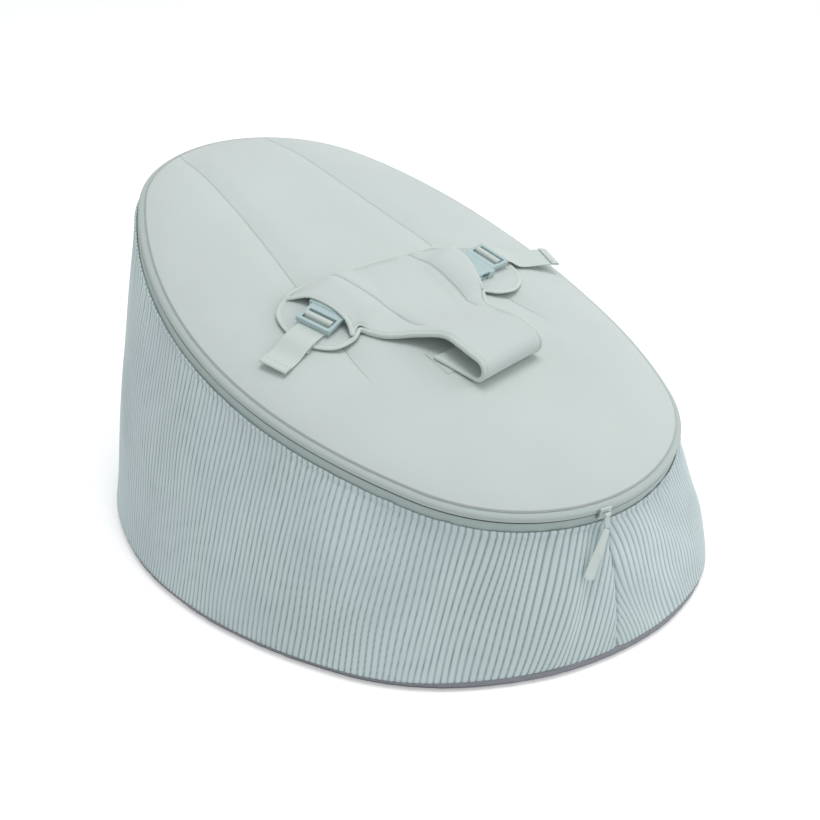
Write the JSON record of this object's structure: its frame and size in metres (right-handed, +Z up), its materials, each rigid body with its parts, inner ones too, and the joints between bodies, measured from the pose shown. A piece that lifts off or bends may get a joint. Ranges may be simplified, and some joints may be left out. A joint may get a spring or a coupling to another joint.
{
  "type": "baby beanbag seat",
  "caption": "Sloped, bead-filled baby seat with a zip-on padded cover, a corduroy wall and a T-shaped harness with side-release buckles.",
  "frame": {"origin": "on the floor, in the middle of the base's length and width", "axes": "+Z up, -Y to the low front where the zip closes, +Y to the high back, +X to the sitter's left"},
  "size_m": [0.558, 0.7, 0.3521],
  "materials": {
    "seat_fabric": "matte cloth",
    "harness_fabric": "matte cloth",
    "corduroy": "matte cloth",
    "base_fabric": "matte cloth",
    "tape_fabric": "matte cloth",
    "coil_plastic": "satin",
    "slider_metal": "satin",
    "tab_rubber": "matte",
    "buckle_plastic": "satin",
    "webbing": "matte cloth",
    "liner_fabric": "matte cloth",
    "beads": "satin",
    "wadding": "matte cloth"
  },
  "bodies": {
    "base": {"base_panel": "base_fabric", "side_panel_left": "corduroy", "side_panel_right": "corduroy", "lower_zip_tape": "tape_fabric", "lower_zip_coil": "coil_plastic", "lower_zip_stop": "slider_metal", "liner_bag": "liner_fabric", "liner_closure": "liner_fabric", "bead_fill": "beads"},
    "seat_cover": {"seat_panel": "seat_fabric", "seat_wadding": "wadding", "upper_zip_tape": "tape_fabric", "upper_zip_coil": "coil_plastic", "upper_zip_stop": "slider_metal", "crotch_strap": "harness_fabric", "crotch_patch": "seat_fabric", "load_strap_left": "webbing", "load_strap_right": "webbing"},
    "harness": {"harness_lower_panel": "harness_fabric", "harness_padding": "wadding", "harness_upper_panel": "harness_fabric", "harness_binding": "harness_fabric", "pocket_binding_left": "harness_fabric", "pocket_binding_right": "harness_fabric", "socket_left": "buckle_plastic", "socket_right": "buckle_plastic", "socket_tab_left": "webbing", "socket_tab_right": "webbing"},
    "left_clip": {"clip_left": "buckle_plastic", "strap_tail_left": "webbing"},
    "right_clip": {"clip_right": "buckle_plastic", "strap_tail_right": "webbing"},
    "slider": {"zip_slider": "slider_metal"},
    "pull": {"pull_link": "slider_metal", "pull_tab": "tab_rubber"}
  },
  "joints": [
    {"name": "cover_lift", "type": "slide", "parent": "base", "child": "seat_cover", "axis": [0, -0.289, 0.9573], "range_m": [0, 0.15]},
    {"name": "zip_slide", "type": "hinge", "parent": "base", "child": "slider", "pos_m": [0, -0.12101, 0.20718], "axis": [0, -0.289, 0.9573], "range_deg": [0, 32]},
    {"name": "zip_pull", "type": "hinge", "parent": "slider", "child": "pull", "pos_m": [-0.01916, -0.33062, 0.1439], "axis": [-0.9962, 0.0834, 0.0252], "range_deg": [0, 150]},
    {"name": "harness_lift", "type": "hinge", "parent": "seat_cover", "child": "harness", "pos_m": [0, -0.15717, 0.237], "axis": [1, 0, 0], "range_deg": [0, 30], "deforming": ["crotch_strap", "load_strap_left", "load_strap_right"]},
    {"name": "clip_release_left", "type": "slide", "parent": "harness", "child": "left_clip", "axis": [-0.932, -0.3256, -0.1594], "range_m": [0, 0.026], "deforming": ["load_strap_left"]},
    {"name": "clip_release_right", "type": "slide", "parent": "harness", "child": "right_clip", "axis": [0.9793, 0.2023, -0.0114], "range_m": [0, 0.026], "deforming": ["load_strap_right"]}
  ]
}
